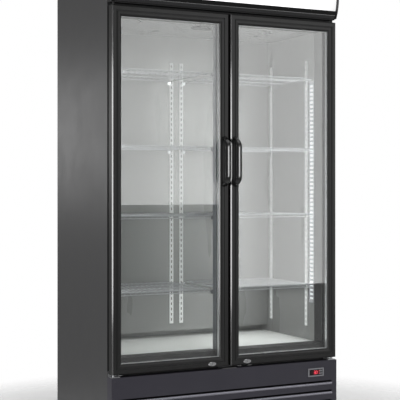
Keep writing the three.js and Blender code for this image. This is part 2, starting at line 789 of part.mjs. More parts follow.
function addDoorFrame(label, side) {
  const slab = roundedSlab(sided(side, doorInnerEdge, doorOuterEdge), [doorFront, doorBack],
    [doorBottom, doorTop], doorEdgeRadius);
  const sight = block(sided(side, doorInnerEdge + stileWidth, doorOuterEdge - stileWidth),
    [doorFront - 1, doorBack + 1], [doorBottom + bottomRailHeight, doorTop - topRailHeight]);
  const pocket = glassPocket(side, fitGap);
  const holeRadius = pinRadius + pinClearance;
  const pinHoles = [[doorBottom - 1, doorBottom + pinLength + 1], [doorTop - pinLength - 1, doorTop + 1]]
    .map((span) => rod('z', [side * pinX, pinY], span, holeRadius));
  const lock = lockPlace(side);
  const barrelHole = rod('y', [lock.x, lock.z], [doorFront - 1, lock.back + camClearance],
    lockRadius + camClearance, 20);
  const camSide = sided(side, lock.distance - camWidth / 2 - camClearance, lock.distance + camLength + 1);
  const camSlot = block(camSide, [lock.camFront - camClearance, lock.back + camClearance],
    [doorBottom - 1, lock.z + camWidth / 2 + camClearance]);
  addPart(`${label}_door_frame`, cut(slab, sight, block(pocket.x, pocket.y, pocket.z), ...pinHoles,
    barrelHole, camSlot), blackPaint);
}

function addGlassUnit(label, side) {
  const pocket = glassPocket(side, 0);
  addPart(`${label}_glass_unit`, block(pocket.x, pocket.y, pocket.z), glassMaterial);
}

function addGasket(label, side) {
  const x = [doorInnerEdge + gasketInset, doorOuterEdge - gasketInset];
  const z = [doorBottom + gasketInset, doorTop - gasketInset];
  const y = [doorBack + fitGap, -fitGap];
  const ring = cut(
    block(sided(side, x[0], x[1]), y, z),
    block(sided(side, x[0] + gasketWidth, x[1] - gasketWidth), [y[0] - 1, y[1] + 1],
      [z[0] + gasketWidth, z[1] - gasketWidth]),
  );
  addPart(`${label}_door_gasket`, ring, gasketRubber);
}

// Points that round off a corner of an outline.
function softCorner(before, corner, after, reach) {
  const toward = (target) => {
    const step = [target[0] - corner[0], target[1] - corner[1]];
    const scale = reach / Math.hypot(step[0], step[1]);
    return [corner[0] + step[0] * scale, corner[1] + step[1] * scale];
  };
  const start = toward(before);
  const end = toward(after);
  const points = [];
  for (let index = 0; index <= handleBendSteps; index += 1) {
    const t = index / handleBendSteps;
    points.push([0, 1].map((axis) => start[axis] * (1 - t) ** 2
      + 2 * corner[axis] * t * (1 - t) + end[axis] * t ** 2));
  }
  return points;
}

// A bow handle: curved ends, a straight grip and an open finger gap behind it.
function addHandle(label, side) {
  const low = doorBottom + handleLow;
  const high = low + handleLength;
  const mount = doorFront - fitGap;
  const inner = handleFront + handleThickness;
  const legFoot = handleThickness * 1.2;
  const outer = [[mount, low], [handleFront, low + handleSlope], [handleFront, high - handleSlope],
    [mount, high]];
  const back = [[mount, high - legFoot], [inner, high - handleSlope - 4], [inner, low + handleSlope + 4],
    [mount, low + legFoot]];
  const soften = ([first, second, third, fourth], reach) => [
    first,
    ...softCorner(first, second, third, reach),
    ...softCorner(second, third, fourth, reach),
    fourth,
  ];
  const outline = [...soften(outer, handleBend), ...soften(back, handleBend - handleThickness / 2)];
  const centre = side * (doorInnerEdge + stileWidth / 2);
  addPart(`${label}_door_handle`, sweepAlongX(outline, centre - handleWidth / 2, centre + handleWidth / 2),
    blackPlastic);
}

function lockPlace(side) {
  const distance = doorInnerEdge + lockFromEdge;
  const back = doorFront + lockDepth;
  return {
    distance,
    x: side * distance,
    z: doorBottom + lockRise,
    back,
    camFront: back - camThickness,
  };
}

// The turning barrel with its cam, which lies level in the rail and swings down below the door.
function addLock(label, side) {
  const lock = lockPlace(side);
  const barrel = rod('y', [lock.x, lock.z], [doorFront - lockProud, lock.back], lockRadius, 20);
  const cam = block(sided(side, lock.distance, lock.distance + camLength), [lock.camFront, lock.back],
    [lock.z - camWidth / 2, lock.z + camWidth / 2]);
  const keyway = block([lock.x - 1, lock.x + 1], [doorFront - lockProud - 1, doorFront + 4],
    [lock.z - 4, lock.z + 4]);
  addPart(`${label}_door_lock`, cut(join(barrel, cam), keyway), chrome);
}

// ---------------------------------------------------------------- shelves and lights

function addShelves() {
  const inner = mullionHalf + 1;
  const outer = innerHalf - shelfWallGap;
  const front = shelfSetback;
  const back = ductPlane - shelfBackGap;
  for (const [label, side] of sides) {
    shelfTops.forEach((top, index) => {
      const low = top - shelfWire;
      const x = sided(side, inner, outer);
      const rim = cut(
        block(x, [front, back], [low, top]),
        block([x[0] + shelfWire, x[1] - shelfWire], [front + shelfWire, back - shelfWire],
          [low - 1, top + 1]),
      );
      const bars = [];
      for (let bar = 1; bar <= shelfBars; bar += 1) {
        const middle = x[0] + ((x[1] - x[0]) * bar) / (shelfBars + 1);
        bars.push(block([middle - 2, middle + 2], [front + 2, back - 2], [low + 1, top - 1]));
      }
      const lip = block([x[0] + 1, x[1] - 1], [front - 4, front + 2], [top - shelfLip, top - 1]);
      addPart(`shelf_${label}_${index + 1}`, join(rim, ...bars, lip), shelfCoat);
    });
  }
}

function addLights() {
  for (const [label, side] of sides) {
    const strip = block(sided(side, innerHalf - lightProud, innerHalf - fitGap),
      [lightSetback - lightWidth / 2, lightSetback + lightWidth / 2],
      [floorLevel + lightStartAboveFloor, ceilingLevel - lightEndBelowCeiling]);
    addPart(`light_strip_${label}`, strip, whitePlastic);
  }
}

addOuterCabinet();
addFace();
addLiner();
addEvaporator();
addMachinery();
addBase();
addCanopy();
addHinges();
addDoors();
addShelves();
addLights();

export default merchandiser;
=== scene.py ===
"""Looks of the glass door merchandiser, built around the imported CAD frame. Lengths are metres."""

import math

import bmesh
import bpy
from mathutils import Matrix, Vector


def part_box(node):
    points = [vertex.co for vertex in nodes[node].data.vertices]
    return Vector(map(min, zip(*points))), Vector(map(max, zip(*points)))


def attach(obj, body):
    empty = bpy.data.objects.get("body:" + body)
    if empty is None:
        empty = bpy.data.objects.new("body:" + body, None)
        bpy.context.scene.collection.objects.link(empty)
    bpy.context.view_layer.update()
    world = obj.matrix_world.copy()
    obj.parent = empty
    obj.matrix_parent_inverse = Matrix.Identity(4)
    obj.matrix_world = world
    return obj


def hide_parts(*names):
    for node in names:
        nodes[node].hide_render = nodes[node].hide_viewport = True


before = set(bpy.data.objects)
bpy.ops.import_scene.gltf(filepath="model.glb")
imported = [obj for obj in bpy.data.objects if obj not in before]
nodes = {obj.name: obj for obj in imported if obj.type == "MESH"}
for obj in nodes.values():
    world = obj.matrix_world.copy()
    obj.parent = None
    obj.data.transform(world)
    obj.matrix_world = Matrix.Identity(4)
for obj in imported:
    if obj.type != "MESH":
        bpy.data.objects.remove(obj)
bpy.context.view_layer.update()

SIDES = (("left", -1), ("right", 1))

# Places that the frame gives
DOOR = {label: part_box(f"{label}_door_frame") for label, _ in SIDES}
GLASS = {label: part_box(f"{label}_glass_unit") for label, _ in SIDES}
DOOR_FRONT = DOOR["left"][0].y
DOOR_BACK = DOOR["left"][1].y
FACE_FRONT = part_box("face_frame")[0].y
HALF_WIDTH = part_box("right_side_panel")[1].x
BASE_LOW, BASE_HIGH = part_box("front_grille")
FLOOR_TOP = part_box("liner_floor")[1].z
CEILING_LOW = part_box("ceiling_panel")[0].z
LINER_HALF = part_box("liner_floor")[1].x

# Shelf rails, and the rear panel that they stand on
RAIL_PROUD = 0.003
DUCT_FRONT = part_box("rear_duct_panel")[0].y + RAIL_PROUD
RAIL_LOW = FLOOR_TOP + 0.065
RAIL_HIGH = CEILING_LOW - 0.125
RAIL_ROWS = (FACE_FRONT + 0.137, DUCT_FRONT - 0.037)
REAR_RAIL_PLACE = 0.026
SHELF_LEVELS = range(1, 5)

# Door extrusion and glass
STILE = 0.043
TOP_RAIL = 0.045
BOTTOM_RAIL = 0.043
GLASS_CAPTURE = 0.012
PANE = 0.004
EDGE_CHAMFER = 0.0042
SHEET = 0.0015
SHARP_ANGLE = math.radians(32)
BEVEL_ANGLE = math.radians(35)

# Profiles of raised screw heads, as (radius, distance along Y) from the crown to the rim and back to the axis
PANEL_SCREW = [(0, 0.0018), (0.0022, 0.0016), (0.0040, 0.0004), (0.0042, 0), (0, 0)]
GRILLE_SCREW = [(0, -0.0022), (0.0022, -0.002), (0.0038, -0.0008), (0.0042, 0), (0, 0)]
GRIP_SCREW = [(0, -0.0018), (0.0026, -0.0016), (0.0032, 0), (0, 0)]
DUCT_SCREW = [(0, -0.0012), (0.003, -0.001), (0.0042, 0.0002), (0, 0.0002)]


# ---------------------------------------------------------------- mesh building


def span(first, second, side=1):
    """Two values, mirrored for the left side (-1), with the lower one first."""
    return sorted((side * first, side * second))


def spread(low, high, count):
    """Values at even steps, with both ends."""
    return [low + i * (high - low) / (count - 1) for i in range(count)]


class Shape:
    """Collects simple solids into one mesh. A face's tag is the index of its material."""

    def __init__(self):
        self.points = []
        self.faces = []
        self.tags = []

    def add(self, points, faces, tag=0):
        start = len(self.points)
        self.points += [tuple(p) for p in points]
        self.faces += [tuple(start + i for i in f) for f in faces]
        self.tags += [tag] * len(faces)
        return self

    def box(self, low, high, tag=0):
        (ax, ay, az), (bx, by, bz) = low, high
        points = [(x, y, z) for x in (ax, bx) for y in (ay, by) for z in (az, bz)]
        faces = [(0, 1, 3, 2), (4, 6, 7, 5), (0, 4, 5, 1), (2, 3, 7, 6), (0, 2, 6, 4), (1, 5, 7, 3)]
        return self.add(points, faces, tag)

    def loft(self, loops, closed=False, tag=0):
        """Quads through equal loops of points, back to the first if closed, else with both ends capped."""
        count = len(loops[0])
        starts = [count * k for k in range(len(loops))]
        faces = []
        for a, b in zip(starts, starts[1:] + starts[:1] if closed else starts[1:]):
            faces += [(a + i, a + (i + 1) % count, b + (i + 1) % count, b + i) for i in range(count)]
        if not closed:
            faces += [tuple(reversed(range(count))), tuple(range(starts[-1], starts[-1] + count))]
        return self.add([point for loop in loops for point in loop], faces, tag)

    def rod(self, start, end, radius, sides=10):
        start, end = Vector(start), Vector(end)
        along = (end - start).normalized()
        across = along.orthogonal().normalized()
        other = along.cross(across)
        turns = [2 * math.pi * i / sides for i in range(sides)]
        ring = [radius * (math.cos(turn) * across + math.sin(turn) * other) for turn in turns]
        return self.loft([[centre + offset for offset in ring] for centre in (start, end)])

    def prism(self, outline, axis, low, high):
        """An outline of 2D points swept along an axis; the outline's plane keeps X, Y, Z order."""
        place = {
            "x": lambda p, s: (s, p[0], p[1]),
            "y": lambda p, s: (p[0], s, p[1]),
            "z": lambda p, s: (p[0], p[1], s),
        }[axis]
        return self.loft([[place(point, end) for point in outline] for end in (low, high)])

    def lathe(self, profile, centre, axis="z", sides=32):
        """A profile of (radius, height) points turned about an axis; it starts and ends at radius 0."""
        cx, cy, cz = centre
        rings = []
        points = []
        for radius, height in profile:
            count = 1 if radius == 0 else sides
            rings.append((len(points), count))
            for i in range(count):
                angle = 2 * math.pi * i / sides
                u, v = radius * math.cos(angle), radius * math.sin(angle)
                points.append((cx + u, cy + v, cz + height) if axis == "z" else (cx + u, cy + height, cz - v))
        faces = []
        for (a, na), (b, nb) in zip(rings, rings[1:]):
            for i in range(sides):
                j = (i + 1) % sides
                quad = (a + i % na, a + j % na, b + j % nb, b + i % nb)
                faces.append(tuple(dict.fromkeys(quad)))
        return self.add(points, faces)

    def link(self, name, materials):
        """Makes the object, with its faces turned outward, and puts it in the scene."""
        mesh = bpy.data.meshes.new(name)
        mesh.from_pydata(self.points, [], self.faces)
        for material in materials:
            mesh.materials.append(material)
        mesh.polygons.foreach_set("material_index", self.tags)
        piece = bpy.data.objects.new(name, mesh)
        bpy.context.scene.collection.objects.link(piece)
        work = bmesh.new()
        work.from_mesh(mesh)
        bmesh.ops.recalc_face_normals(work, faces=work.faces)
        work.to_mesh(mesh)
        work.free()
        return piece

    def make(self, name, body, materials, slot, bevel=0.0, smooth=False, segments=2, replaces=()):
        piece = self.link(name, materials if isinstance(materials, list) else [materials])
        if bevel:
            add_bevel(piece, bevel, segments)
        if smooth or bevel:
            piece.data.polygons.foreach_set("use_smooth", [True] * len(self.faces))
            piece.data.set_sharp_from_angle(angle=SHARP_ANGLE)
        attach(piece, body)
        if replaces:
            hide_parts(*replaces)
        return piece


def add_bevel(piece, width, segments=2):
    bevel = piece.modifiers.new("edges", "BEVEL")
    bevel.width = width
    bevel.segments = segments
    bevel.limit_method = "ANGLE"
    bevel.angle_limit = BEVEL_ANGLE
    bevel.harden_normals = True
    bevel.use_clamp_overlap = True


# ---------------------------------------------------------------- materials


class Look:
    """A procedural material on one Principled shader."""

    def __init__(self, name, color, roughness=0.4, metallic=0.0, **inputs):
        self.material = bpy.data.materials.new(name)
        self.material.use_nodes = True
        self.tree = self.material.node_tree
        self.shader = self.tree.nodes["Principled BSDF"]
        self.shader.inputs["Base Color"].default_value = (*color, 1)
        self.shader.inputs["Roughness"].default_value = roughness
        self.shader.inputs["Metallic"].default_value = metallic
        for key, value in inputs.items():
            self.shader.inputs[key.replace("_", " ")].default_value = value
        self.color = color
        self.roughness = roughness

    def node(self, kind, **settings):
        made = self.tree.nodes.new(kind)
        for key, value in settings.items():
            if key in made.inputs:
                made.inputs[key].default_value = value
            else:
                setattr(made, key, value)
        return made

    def link(self, output, target):
        self.tree.links.new(output, target)

    def noise(self, scale, detail=3.0, stretch=(1, 1, 1)):
        mapping = self.node("ShaderNodeMapping")
        mapping.inputs["Scale"].default_value = stretch
        self.link(self.place(), mapping.inputs["Vector"])
        texture = self.node("ShaderNodeTexNoise")
        texture.inputs["Scale"].default_value = scale
        texture.inputs["Detail"].default_value = detail
        self.link(mapping.outputs["Vector"], texture.inputs["Vector"])
        return texture.outputs["Fac"]

    def ramp(self, value, low, high):
        """Spreads the middle of a noise or wave over the range from low to high."""
        return self.fade(value, 0.3, 0.7, low, high)

    def mottle(self, scale, amount, stretch=(1, 1, 1)):
        """Slight lightness variation of the base colour."""
        mix = self.node("ShaderNodeMix", data_type="RGBA")
        low = tuple(c * (1 - amount) for c in self.color)
        high = tuple(min(1.0, c * (1 + amount)) for c in self.color)
        mix.inputs["A"].default_value = (*low, 1)
        mix.inputs["B"].default_value = (*high, 1)
        self.link(self.ramp(self.noise(scale, stretch=stretch), 0, 1), mix.inputs["Factor"])
        self.link(mix.outputs["Result"], self.shader.inputs["Base Color"])
        return self

    def smudge(self, scale, amount, stretch=(1, 1, 1)):
        """Slight variation of the roughness."""
        low, high = self.roughness - amount, self.roughness + amount
        self.link(self.ramp(self.noise(scale, stretch=stretch), low, high), self.shader.inputs["Roughness"])
        return self

    def grain(self, scale, strength, distance=0.0002, stretch=(1, 1, 1), detail=2.0):
        """A fine surface texture as bump."""
        bump = self.node("ShaderNodeBump")
        bump.inputs["Strength"].default_value = strength
        bump.inputs["Distance"].default_value = distance
        self.link(self.noise(scale, detail, stretch), bump.inputs["Height"])
        self.link(bump.outputs["Normal"], self.shader.inputs["Normal"])
        return self

    def glow(self, color, strength=None):
        """Emits a colour, evenly at a strength or as the caller's nodes drive the strength."""
        self.shader.inputs["Emission Color"].default_value = (*color, 1)
        if strength is not None:
            self.shader.inputs["Emission Strength"].default_value = strength
        return self

    def fade(self, value, start, end, first, last):
        """A value that goes from first to last while the input goes from start to end."""
        fade = self.node("ShaderNodeMapRange")
        for name, number in (("From Min", start), ("From Max", end), ("To Min", first), ("To Max", last)):
            fade.inputs[name].default_value = number
        self.link(value, fade.inputs["Value"])
        return fade.outputs["Result"]

    def place(self):
        return self.node("ShaderNodeTexCoord").outputs["Object"]


def glass_look():
    """Clear glass that lets lamp and bounce light through to what is behind it."""
    look = Look("pane_glass", (0.97, 0.978, 0.972), 0.0, Transmission_Weight=1.0, IOR=1.5)
    path = look.node("ShaderNodeLightPath")
    clear = look.node("ShaderNodeBsdfTransparent")
    clear.inputs["Color"].default_value = (0.95, 0.96, 0.955, 1)
    either = look.node("ShaderNodeMath", operation="MAXIMUM")
    look.link(path.outputs["Is Shadow Ray"], either.inputs[0])
    look.link(path.outputs["Is Diffuse Ray"], either.inputs[1])
    mix = look.node("ShaderNodeMixShader")
    look.link(either.outputs[0], mix.inputs["Fac"])
    look.link(look.shader.outputs[0], mix.inputs[1])
    look.link(clear.outputs[0], mix.inputs[2])
    look.link(mix.outputs[0], look.tree.nodes["Material Output"].inputs["Surface"])
    return look


def glowing(name, color, strength):
    return Look(name, color, 0.35).glow(color, strength).grain(900, 0.05)


def canopy_lens_look():
    """An opal sheet that dims toward its ends, past the ends of the lamp behind it."""
    look = Look("opal_acrylic", (0.62, 0.62, 0.62), 0.35).glow((1, 1, 1))
    split = look.node("ShaderNodeSeparateXYZ")
    look.link(look.place(), split.inputs[0])
    from_middle = look.node("ShaderNodeMath", operation="ABSOLUTE")
    look.link(split.outputs["X"], from_middle.inputs[0])
    strength = look.fade(from_middle.outputs[0], 0.36, 0.55, 1.15, 0.45)
    look.link(strength, look.shader.inputs["Emission Strength"])
    return look.grain(900, 0.05)


def lamp_strip_look():
    """A cover with the spots of the light points showing through along it."""
    look = Look("light_strip_cover", (0.30, 0.31, 0.33), 0.3).glow((0.95, 0.97, 1.0))
    wave = look.node("ShaderNodeTexWave", wave_type="BANDS", bands_direction="Z", Scale=51.5 / math.pi)
    look.link(look.place(), wave.inputs["Vector"])
    look.link(look.ramp(wave.outputs["Fac"], 0.08, 0.75), look.shader.inputs["Emission Strength"])
    return look


LOOKS = {
    "side_paint": Look("grey_powder_coat", (0.044, 0.044, 0.045), 0.34)
    .mottle(3, 0.04).smudge(6, 0.03).grain(1400, 0.12),
    "door_paint": Look("black_extrusion", (0.022, 0.022, 0.022), 0.33, Specular_IOR_Level=0.22)
    .mottle(5, 0.08, (1, 1, 0.2)).smudge(40, 0.05, (1, 1, 0.1)).grain(1500, 0.08),
    "door_edge": Look("black_extrusion_edge", (0.020, 0.020, 0.020), 0.16, IOR=1.75, Specular_IOR_Level=1.0)
    .smudge(40, 0.04, (1, 1, 0.1)),
    "face_paint": Look("black_face_coat", (0.012, 0.012, 0.013), 0.5).mottle(5, 0.1).grain(1500, 0.1),
    "base_paint": Look("charcoal_coat", (0.040, 0.038, 0.050), 0.36, Specular_IOR_Level=0.3)
    .mottle(4, 0.06).smudge(9, 0.03).grain(1400, 0.1),
    # A lighter, half-metallic copy of the charcoal coat: a painted highlight along the beads' rounded tops.
    "louvre_painted_highlight": Look("louvre_painted_highlight", (0.22, 0.215, 0.25), 0.24, 0.5).smudge(30, 0.04, (0.2, 1, 1)),
    "gloss_black": Look("gloss_black", (0.006, 0.006, 0.006), 0.12, Specular_IOR_Level=0.35)
    .smudge(12, 0.03),
    "handle": Look("handle_plastic", (0.005, 0.005, 0.005), 0.15)
    .smudge(25, 0.04).grain(900, 0.04),
    "liner": Look("liner_steel", (0.21, 0.213, 0.21), 0.3, 0.25)
    .mottle(3, 0.03, (1, 1, 0.2)).smudge(8, 0.04, (1, 1, 0.15)),
    # The liner floor is much lighter than the liner steel of the walls: painted light, for the light of the
    # strips that falls on it.
    "liner_floor": Look("liner_floor_painted_light", (0.80, 0.82, 0.80), 0.34, 0.2).mottle(4, 0.04).smudge(8, 0.05),
    "breaker": Look("breaker_plastic", (0.006, 0.006, 0.007), 0.45, Specular_IOR_Level=0.25)
    .smudge(20, 0.04),
    "post": Look("post_coat", (0.085, 0.092, 0.105), 0.35).mottle(8, 0.05).smudge(12, 0.04),
    "rail": Look("rail_coat", (0.80, 0.81, 0.81), 0.32).mottle(10, 0.03),
    "shelf": Look("shelf_coat", (0.42, 0.43, 0.45), 0.28).mottle(8, 0.03).grain(800, 0.06),
    "chrome": Look("bright_chrome", (0.80, 0.81, 0.82), 0.12, 1.0).smudge(40, 0.05),
    "zinc": Look("zinc_plate", (0.55, 0.56, 0.57), 0.36, 1.0).mottle(30, 0.12).smudge(18, 0.08),
    # A darker copy of the zinc plate: painted shade for the keeper in the gap between the doors.
    "zinc_painted_shade": Look("zinc_painted_shade", (0.16, 0.16, 0.165), 0.4, 0.8).mottle(30, 0.15).smudge(18, 0.08),
    "aluminium": Look("fin_aluminium", (0.62, 0.63, 0.64), 0.35, 1.0).mottle(20, 0.08),
    "spacer": Look("spacer_bar", (0.75, 0.76, 0.77), 0.3, 0.8).grain(500, 0.2),
    "copper": Look("copper_pipe", (0.60, 0.28, 0.16), 0.3, 1.0).mottle(30, 0.15).smudge(20, 0.08),
    "rubber": Look("black_rubber", (0.012, 0.012, 0.012), 0.65).grain(900, 0.2),
    "plastic": Look("black_plastic", (0.02, 0.02, 0.021), 0.42).grain(1100, 0.15),
    "compressor": Look("compressor_enamel", (0.012, 0.012, 0.013), 0.25).smudge(12, 0.06).grain(300, 0.08),
    "foam": Look("foam", (0.75, 0.66, 0.36), 0.9).mottle(60, 0.15).grain(300, 0.6, 0.001),
    # A near-black sheet behind slots: painted shadow for the depth of the rails' channels and the grille's
    # slots.
    "painted_slot_shadow": Look("slot_shadow", (0.004, 0.004, 0.005), 0.8, Specular_IOR_Level=0.1).mottle(40, 0.1),
    "bezel": Look("bezel_grey", (0.22, 0.22, 0.24), 0.35).grain(900, 0.08),
    "window": Look("display_window", (0.012, 0.008, 0.010), 0.08).smudge(20, 0.02),
    "digit": glowing("display_digit", (1.0, 0.06, 0.10), 1.3),
    "digit_off": Look("display_digit_off", (0.06, 0.008, 0.010), 0.2).mottle(20, 0.1),
    "opal": canopy_lens_look(),
    "lamp": glowing("lamp_tube", (1.0, 1.0, 1.0), 2.0),
    "strip": lamp_strip_look(),
    "glass": glass_look(),
}
MAT = {name: look.material for name, look in LOOKS.items()}


def dress(node, material, bevel=0.0, segments=2):
    """Gives a CAD node its material, and soft edges where they show."""
    piece = nodes[node]
    piece.data.materials.clear()
    piece.data.materials.append(MAT[material])
    if bevel:
        add_bevel(piece, bevel, segments)


# ---------------------------------------------------------------- cabinet


def dress_cabinet():
    for label, _ in SIDES:
        dress(f"{label}_side_panel", "side_paint", 0.0006)
    for name in ("top_panel", "back_panel", "rear_grille"):
        dress(name, "side_paint", 0.0004)
    for name in ("face_frame", "top_hinge_rail", "canopy_housing"):
        dress(name, "face_paint", 0.0006)
    dress("center_mullion", "post", 0.0006)
    for name in ("base_pan", "machine_deck", "condenser_fan_motor"):
        dress(name, "zinc", 0.0004)
    for name in ("liner_back_wall", "liner_top", "ceiling_panel"):
        dress(name, "liner", 0.0004)
    # A lighter copy of the liner steel, as painted light on the floor.
    dress("liner_floor", "liner_floor", 0.0004)
    for name in ("condenser_fan_blade", "evaporator_fan_blade", "drain_tray", "power_inlet"):
        dress(name, "plastic", 0.0006)
    dress("insulation_foam", "foam")
    dress("compressor", "compressor", 0.003, 3)
    for label, _ in SIDES:
        dress(f"bottom_hinge_{label}", "zinc", 0.0006)
        dress(f"{label}_door_lock", "chrome", 0.0006)
    # The keeper gets the darker zinc, as painted shade of the gap between the doors.
    dress("center_keeper", "zinc_painted_shade", 0.0006)


def wall_rail(shape, face, middle, axis, sign):
    """An upright channel with real slots, on a face across the axis that looks toward sign."""
    half, slot_half, slot_height, pitch, skin = 0.010, 0.00225, 0.013, 0.0254, 0.0009
    front = RAIL_PROUD

    def put(across, depth, z_low=RAIL_LOW, z_high=RAIL_HIGH, tag=0):
        depth = span(face + sign * depth[0], face + sign * depth[1])
        across = (middle + across[0], middle + across[1])
        x, y = (depth, across) if axis == "x" else (across, depth)
        shape.box((x[0], y[0], z_low), (x[1], y[1], z_high), tag)

    put((-half, -slot_half), (front - skin, front))
    put((slot_half, half), (front - skin, front))
    put((-half, -half + skin), (0, front - skin))
    put((half - skin, half), (0, front - skin))
    # A dark strip at the back of the channel, as painted shadow behind the slots.
    put((-half + skin, half - skin), (0.0002, 0.0008), tag=1)
    z = RAIL_LOW
    while z < RAIL_HIGH:
        put((-slot_half, slot_half), (front - skin, front), z, min(z + pitch - slot_height, RAIL_HIGH))
        z += pitch


def make_liner():
    """Side walls and rear panel as sheets, and the slotted rails on them."""
    rail_looks = [MAT["rail"], MAT["painted_slot_shadow"]]
    for label, side in SIDES:
        low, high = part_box(f"liner_{label}_wall")
        inner, outer = (low.x + RAIL_PROUD, high.x) if side > 0 else (high.x - RAIL_PROUD, low.x)
        x = span(inner, outer)
        sheet = Shape().box((x[0], low.y, low.z), (x[1], high.y, high.z))
        sheet.make(f"liner_wall_{label}", "cabinet", MAT["liner"], "white_liner", 0.0005,
                   replaces=(f"liner_{label}_wall",))
        rails = Shape()
        for y in RAIL_ROWS:
            wall_rail(rails, inner, y, "x", -side)
        rails.make(f"shelf_rails_{label}", "cabinet", rail_looks, "white_liner")

    low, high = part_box("rear_duct_panel")
    panel = Shape().box((low.x, DUCT_FRONT, low.z), (high.x, high.y, high.z))
    for x in (low.x + 0.012, high.x - 0.012):
        for z in spread(low.z + 0.08, high.z - 0.08, 6):
            panel.lathe(DUCT_SCREW, (x, DUCT_FRONT, z), "y", 16)
    panel.make("rear_air_panel", "cabinet", MAT["liner"], "white_liner", 0.0004,
               replaces=("rear_duct_panel",))
    rails = Shape()
    for x in (-REAR_RAIL_PLACE, REAR_RAIL_PLACE):
        wall_rail(rails, DUCT_FRONT, x, "y", -1)
    rails.make("shelf_rails_rear", "cabinet", rail_looks, "white_liner")


def make_breakers():
    """Dark thermal breaker strips round each opening, between the steel face and the liner."""
    strip, gap = 0.0014, 0.0002
    front, back = FACE_FRONT + 0.0065, FACE_FRONT + 0.066
    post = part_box("center_mullion")[1].x + 0.0005
    for label, side in SIDES:
        ring = Shape()
        x = span(LINER_HALF - gap, LINER_HALF - strip, side)
        ring.box((x[0], front, FLOOR_TOP + gap), (x[1], back, CEILING_LOW - gap))
        x = span(post, LINER_HALF - strip, side)
        ring.box((x[0], front, FLOOR_TOP + gap), (x[1], back, FLOOR_TOP + strip))
        ring.box((x[0], front, CEILING_LOW - strip), (x[1], back, CEILING_LOW - gap))
        ring.make(f"breaker_strip_{label}", "cabinet", MAT["breaker"], "black_plastic", 0.0003)


def add_clip(shape, ledge_x, ledge_y, plate_x, plate_y, top):
    """The ledge that a shelf corner rests on, and the hooked plate that hangs from it."""
    shape.box((ledge_x[0], ledge_y[0], top - 0.0015), (ledge_x[1], ledge_y[1], top))
    shape.box((plate_x[0], plate_y[0], top - 0.016), (plate_x[1], plate_y[1], top))


def make_clips():
    """Shelf clips hooked into the rails under every shelf corner."""
    plate, half_width, wall_reach, reach = 0.0012, 0.006, 0.010, 0.030
    wall = LINER_HALF - RAIL_PROUD
    post_rail = FACE_FRONT + 0.048
    for label, side in SIDES:
        for level in SHELF_LEVELS:
            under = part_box(f"shelf_{label}_{level}")[1].z - 0.0065
            clips = Shape()
            for row in RAIL_ROWS:
                y = (row - half_width, row + half_width)
                ledge_x, plate_x = span(wall - wall_reach, wall, side), span(wall - plate, wall, side)
                add_clip(clips, ledge_x, y, plate_x, y, under)
            x = span(0.030, 0.048, side)
            for face, sign in ((DUCT_FRONT - RAIL_PROUD, -1), (post_rail, 1)):
                add_clip(clips, x, span(face, face + sign * reach), x, span(face, face + sign * plate), under)
            clips.make(f"shelf_clips_{label}_{level}", "cabinet", MAT["chrome"], "chrome_plate", 0.0004)


def make_light_strips():
    """A channel with side lips and end blocks, and a low curved cover along it."""
    base, lip, end, arc_steps = 0.002, 0.001, 0.014, 8
    for label, side in SIDES:
        low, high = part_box(f"light_strip_{label}")
        wall, inner = (high.x, low.x) if side > 0 else (low.x, high.x)
        middle = (low.y + high.y) / 2
        body = Shape()
        x = span(wall, wall - side * base)
        body.box((x[0], low.y, low.z), (x[1], high.y, high.z))
        x = span(wall - side * base, inner + side * 0.0018)
        for y in (low.y, high.y - lip):
            body.box((x[0], y, low.z), (x[1], y + lip, high.z))
        x = span(wall - side * base, inner)
        for z in (low.z, high.z - end):
            body.box((x[0], low.y, z), (x[1], high.y, z + end))
        body.make(f"light_channel_{label}", "cabinet", MAT["shelf"], "lamp_white", 0.0004)
        turns = [math.pi * i / arc_steps for i in range(arc_steps + 1)]
        outline = [(wall - side * (0.003 + 0.0024 * math.sin(turn)), middle - 0.0125 * math.cos(turn))
                   for turn in turns]
        cover = Shape().prism(outline, "z", low.z + end, high.z - end)
        cover.make(f"light_cover_{label}", "cabinet", MAT["strip"], "lamp_white", smooth=True,
                   replaces=(f"light_strip_{label}",))


# ---------------------------------------------------------------- doors


def frame_loops(profile, low, high, side_width, bottom_width, top_width):
    """Loops at a frame's corners. A profile point is (share of the member's width, depth behind the front)."""
    loops = []
    for right, top in ((0, 0), (1, 0), (1, 1), (0, 1)):
        x, width = (high.x, -side_width) if right else (low.x, side_width)
        z, height = (high.z, -top_width) if top else (low.z, bottom_width)
        loops.append([(x + share * width, low.y + depth, z + share * height) for share, depth in profile])
    return loops


